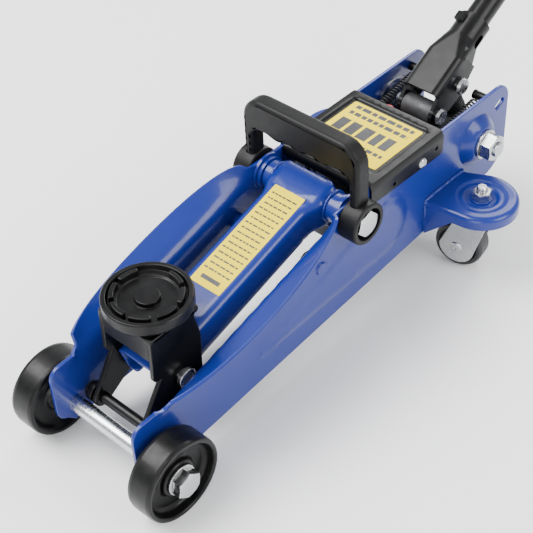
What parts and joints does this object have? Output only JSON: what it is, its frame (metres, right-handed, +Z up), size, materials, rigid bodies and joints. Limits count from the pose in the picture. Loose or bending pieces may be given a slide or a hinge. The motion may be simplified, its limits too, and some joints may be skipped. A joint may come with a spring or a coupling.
{
  "type": "hydraulic trolley jack",
  "caption": "Low hydraulic trolley jack on wheels: side plates, lifting arm with levelled turning saddle, pump handle, folding carry handle and rear casters.",
  "frame": {"origin": "on the floor, under the middle of the whole jack's bounding box with the handle raised 29 degrees", "axes": "+X from the handle towards the saddle end and the front wheels, +Y to the jack's left, +Z up"},
  "size_m": [0.7484, 0.2, 0.3368],
  "materials": {
    "jack_blue": "gloss enamel",
    "black_paint": "satin enamel",
    "black_plastic": "moulded, slightly grained",
    "zinc": "bright zinc plating",
    "steel": "ground",
    "cast": "rough cast, oiled",
    "label": "printed film",
    "seal": "smooth",
    "plug_red": "moulded",
    "caster_tread": "moulded",
    "wheel_black": "gloss enamel",
    "spring_black": "oil-blackened"
  },
  "bodies": {
    "frame": {"side_plate_left": "jack_blue", "side_plate_right": "jack_blue", "caster_bracket_left": "jack_blue", "caster_bracket_right": "jack_blue", "front_axle": "zinc", "front_axle_washers": "zinc", "front_axle_bolts": "zinc", "pivot_shaft": "steel", "pivot_bolts": "zinc", "pivot_collars": "jack_blue", "link_frame_pins": "jack_blue", "pump_block": "cast", "pressure_cylinder": "steel", "reservoir_tube": "black_paint", "cylinder_head": "cast", "head_seal": "seal", "trunnion_bolts": "zinc", "trunnion_washers": "zinc", "filler_plug": "plug_red", "check_valve_balls": "steel", "fulcrum_pin": "zinc", "plunger_spring": "spring_black", "return_springs": "spring_black", "spring_anchor_rod": "black_paint", "top_cover": "black_paint", "cover_screws": "zinc", "cover_label": "label", "caster_kingpins": "zinc", "caster_nuts": "zinc"},
    "lift_arm": {"lift_arm": "jack_blue", "arm_label": "label", "saddle_pin": "zinc", "ram_pin": "zinc", "spring_studs": "zinc"},
    "saddle_bracket": {"saddle_bracket": "black_paint", "link_front_pin": "black_paint"},
    "saddle": {"saddle": "black_paint", "saddle_retainer": "zinc"},
    "link_rods": {"link_rod_left": "black_paint", "link_rod_right": "black_paint"},
    "ram": {"ram_rod": "steel", "piston_seal": "seal", "ram_yoke": "cast"},
    "pump_handle": {"handle_socket": "black_paint", "roller_pin": "zinc", "handle_clamp_bolt": "black_paint", "handle_rod": "black_paint", "handle_grip": "black_plastic"},
    "pump_roller": {"pump_roller": "steel"},
    "pump_plunger": {"pump_plunger": "steel"},
    "release_valve": {"release_valve": "zinc"},
    "carry_handle": {"carry_handle": "black_plastic"},
    "front_wheel_left": {"front_wheel_left": "wheel_black"},
    "front_wheel_right": {"front_wheel_right": "wheel_black"},
    "caster_swivel_left": {"caster_fork_left": "zinc", "caster_axle_left": "zinc"},
    "caster_swivel_right": {"caster_fork_right": "zinc", "caster_axle_right": "zinc"},
    "caster_wheel_left": {"caster_wheel_left": "caster_tread"},
    "caster_wheel_right": {"caster_wheel_right": "caster_tread"}
  },
  "joints": [
    {"name": "lift", "type": "hinge", "parent": "frame", "child": "lift_arm", "pos_m": [0.14058, 0, 0.112], "axis": [0, -1, 0], "range_deg": [0, 70.71], "deforming": ["return_springs"]},
    {"name": "bracket_level", "type": "hinge", "parent": "lift_arm", "child": "saddle_bracket", "pos_m": [0.29654, 0, 0.066], "axis": [0, -1, 0], "range_deg": [-70.71, 0]},
    {"name": "link_swing", "type": "hinge", "parent": "frame", "child": "link_rods", "pos_m": [0.17358, 0, 0.085], "axis": [0, -1, 0], "range_deg": [0, 70.71]},
    {"name": "saddle_spin", "type": "hinge", "parent": "saddle_bracket", "child": "saddle", "pos_m": [0.29654, 0, 0.114], "axis": [0, 0, 1], "continuous": true},
    {"name": "ram_stroke", "type": "slide", "parent": "frame", "child": "ram", "axis": [1, 0, 0], "range_m": [0, 0.04629]},
    {"name": "pump_handle_swing", "type": "hinge", "parent": "frame", "child": "pump_handle", "pos_m": [0.00608, 0, 0.11], "axis": [0, 1, 0], "range_deg": [-25, 20]},
    {"name": "pump_roller_spin", "type": "hinge", "parent": "pump_handle", "child": "pump_roller", "pos_m": [-0.02064, 0, 0.12367], "axis": [0, 1, 0], "continuous": true},
    {"name": "plunger_stroke", "type": "slide", "parent": "frame", "child": "pump_plunger", "axis": [0.4161, 0, 0.9093], "range_m": [-0.01276, 0.01021], "deforming": ["plunger_spring"]},
    {"name": "release_valve_turn", "type": "hinge", "parent": "frame", "child": "release_valve", "pos_m": [-0.04942, 0.012, 0.06], "axis": [1, 0, 0], "range_deg": [0, 180]},
    {"name": "carry_handle_fold", "type": "hinge", "parent": "frame", "child": "carry_handle", "pos_m": [0.14058, 0, 0.112], "axis": [0, -1, 0], "range_deg": [0, 55]},
    {"name": "front_wheel_left_spin", "type": "hinge", "parent": "frame", "child": "front_wheel_left", "pos_m": [0.34218, 0.058, 0.032], "axis": [0, 1, 0], "continuous": true},
    {"name": "front_wheel_right_spin", "type": "hinge", "parent": "frame", "child": "front_wheel_right", "pos_m": [0.34218, -0.058, 0.032], "axis": [0, 1, 0], "continuous": true},
    {"name": "caster_left_swivel", "type": "hinge", "parent": "frame", "child": "caster_swivel_left", "pos_m": [0.02158, 0.071, 0.06], "axis": [0, 0, 1], "continuous": true},
    {"name": "caster_right_swivel", "type": "hinge", "parent": "frame", "child": "caster_swivel_right", "pos_m": [0.02158, -0.071, 0.06], "axis": [0, 0, 1], "continuous": true},
    {"name": "caster_left_spin", "type": "hinge", "parent": "caster_swivel_left", "child": "caster_wheel_left", "pos_m": [0.02384, 0.0582, 0.02], "axis": [0.9848, 0.1736, 0], "continuous": true},
    {"name": "caster_right_spin", "type": "hinge", "parent": "caster_swivel_right", "child": "caster_wheel_right", "pos_m": [0.02384, -0.0582, 0.02], "axis": [0.9848, -0.1736, 0], "continuous": true}
  ],
  "couplings": [
    {"joint": "bracket_level", "follows": "lift", "ratio": -1},
    {"joint": "link_swing", "follows": "lift", "ratio": 1},
    {"joint": "ram_stroke", "follows": "lift", "m_per_rad": 0.037509},
    {"joint": "plunger_stroke", "follows": "pump_handle_swing", "m_per_rad": 0.02925}
  ]
}
